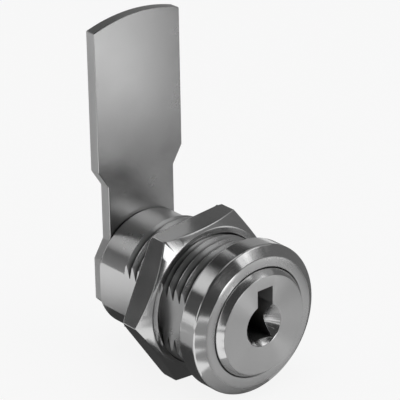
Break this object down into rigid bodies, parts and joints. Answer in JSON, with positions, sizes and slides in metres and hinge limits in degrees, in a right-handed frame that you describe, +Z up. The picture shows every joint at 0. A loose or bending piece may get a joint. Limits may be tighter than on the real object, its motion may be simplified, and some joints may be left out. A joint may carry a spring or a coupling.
{
  "type": "cam lock",
  "caption": "Cylinder cam lock: bevelled round head with a keyhole, threaded barrel with two flats, clamping hex nut and a flat waisted cam that the key turns a quarter turn.",
  "frame": {"origin": "centre of the head's rear face, on the lock's axis, where the head seats on the outside of the door", "axes": "+Y along the lock's axis from the head to the cam, +Z up along the cam at rest, +X to the right as seen from the key's side"},
  "size_m": [0.029, 0.0355, 0.0569],
  "materials": {
    "barrel_metal": "nickel-plated die casting, turned and lightly polished",
    "plug_metal": "nickel-plated, fine brushed face",
    "nut_metal": "nickel-plated, satin",
    "cam_steel": "plated strip steel, satin",
    "washer_steel": "plated spring steel",
    "screw_steel": "plated steel",
    "wafer_brass": "stamped brass",
    "spring_wire": "drawn spring wire"
  },
  "bodies": {
    "lock_body": {"housing": "barrel_metal"},
    "cylinder": {"plug": "plug_metal", "cam": "cam_steel", "lock_washer": "washer_steel", "cam_screw": "screw_steel", "retainer_spring": "spring_wire", "wafer_spring_1": "spring_wire", "wafer_spring_2": "spring_wire", "wafer_spring_3": "spring_wire", "wafer_spring_4": "spring_wire", "wafer_spring_5": "spring_wire", "wafer_spring_6": "spring_wire", "wafer_spring_7": "spring_wire"},
    "retaining_plate": {"retainer": "wafer_brass"},
    "clamp_nut": {"hex_nut": "nut_metal"},
    "wafer_body_1": {"wafer_1": "wafer_brass"},
    "wafer_body_2": {"wafer_2": "wafer_brass"},
    "wafer_body_3": {"wafer_3": "wafer_brass"},
    "wafer_body_4": {"wafer_4": "wafer_brass"},
    "wafer_body_5": {"wafer_5": "wafer_brass"},
    "wafer_body_6": {"wafer_6": "wafer_brass"},
    "wafer_body_7": {"wafer_7": "wafer_brass"}
  },
  "joints": [
    {"name": "plug_turn", "type": "hinge", "parent": "lock_body", "child": "cylinder", "pos_m": [0, 0, 0], "axis": [0, 1, 0], "range_deg": [0, 90]},
    {"name": "nut_travel", "type": "slide", "parent": "lock_body", "child": "clamp_nut", "axis": [0, 1, 0], "range_m": [-0.006, 0.0045]},
    {"name": "wafer_1_slide", "type": "slide", "parent": "cylinder", "child": "wafer_body_1", "axis": [0, 0, 1], "range_m": [0, 0.0009], "deforming": ["wafer_spring_1"]},
    {"name": "wafer_2_slide", "type": "slide", "parent": "cylinder", "child": "wafer_body_2", "axis": [0, 0, 1], "range_m": [0, 0.0009], "deforming": ["wafer_spring_2"]},
    {"name": "wafer_3_slide", "type": "slide", "parent": "cylinder", "child": "wafer_body_3", "axis": [0, 0, 1], "range_m": [0, 0.0009], "deforming": ["wafer_spring_3"]},
    {"name": "wafer_4_slide", "type": "slide", "parent": "cylinder", "child": "wafer_body_4", "axis": [0, 0, 1], "range_m": [0, 0.0009], "deforming": ["wafer_spring_4"]},
    {"name": "wafer_5_slide", "type": "slide", "parent": "cylinder", "child": "wafer_body_5", "axis": [0, 0, 1], "range_m": [0, 0.0009], "deforming": ["wafer_spring_5"]},
    {"name": "wafer_6_slide", "type": "slide", "parent": "cylinder", "child": "wafer_body_6", "axis": [0, 0, 1], "range_m": [0, 0.0009], "deforming": ["wafer_spring_6"]},
    {"name": "wafer_7_slide", "type": "slide", "parent": "cylinder", "child": "wafer_body_7", "axis": [0, 0, 1], "range_m": [0, 0.0009], "deforming": ["wafer_spring_7"]},
    {"name": "retainer_slide", "type": "slide", "parent": "cylinder", "child": "retaining_plate", "axis": [0, 0, 1], "range_m": [-0.00095, 0], "deforming": ["retainer_spring"]}
  ]
}
